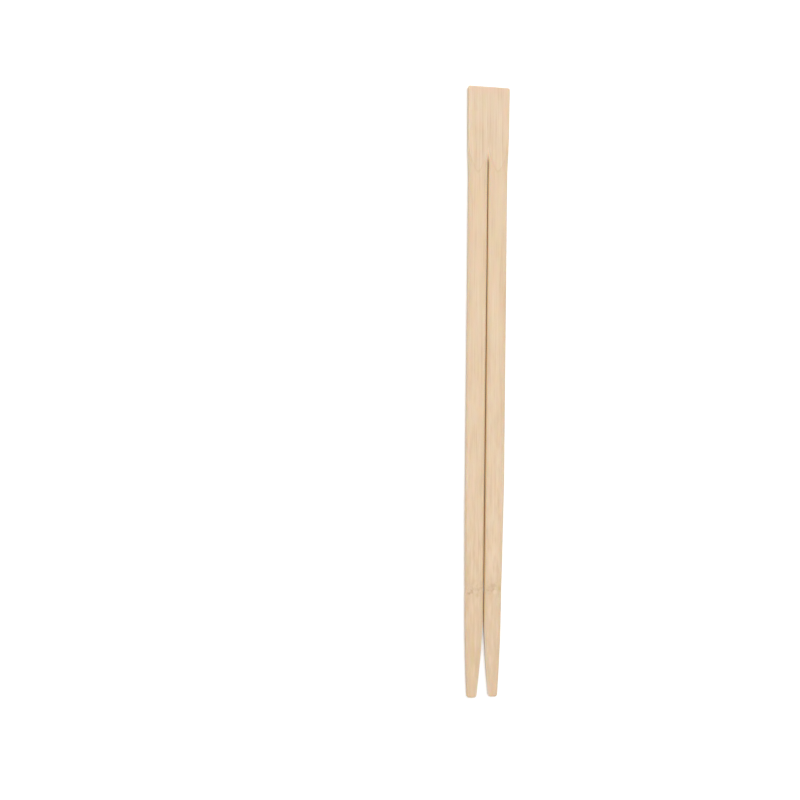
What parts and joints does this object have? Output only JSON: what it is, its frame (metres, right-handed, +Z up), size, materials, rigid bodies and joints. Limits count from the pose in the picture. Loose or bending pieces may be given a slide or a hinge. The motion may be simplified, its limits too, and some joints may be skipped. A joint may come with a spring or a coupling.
{
  "type": "bamboo chopsticks",
  "caption": "Joined disposable bamboo chopsticks: a flat rectangular head, a thin slit between rounded sticks and blunt ground tips, snapped apart at the head for eating.",
  "frame": {"origin": "under the middle of the pair, on the surface it lies on", "axes": "+Y along the sticks towards the joined head, +Z up out of the flat face, +X across the pair"},
  "size_m": [0.0142, 0.21, 0.005],
  "materials": {
    "bamboo": "bare pale bamboo, planed and lightly sanded, matt"
  },
  "bodies": {
    "root": {"chopstick_pair": "bamboo"}
  },
  "joints": []
}
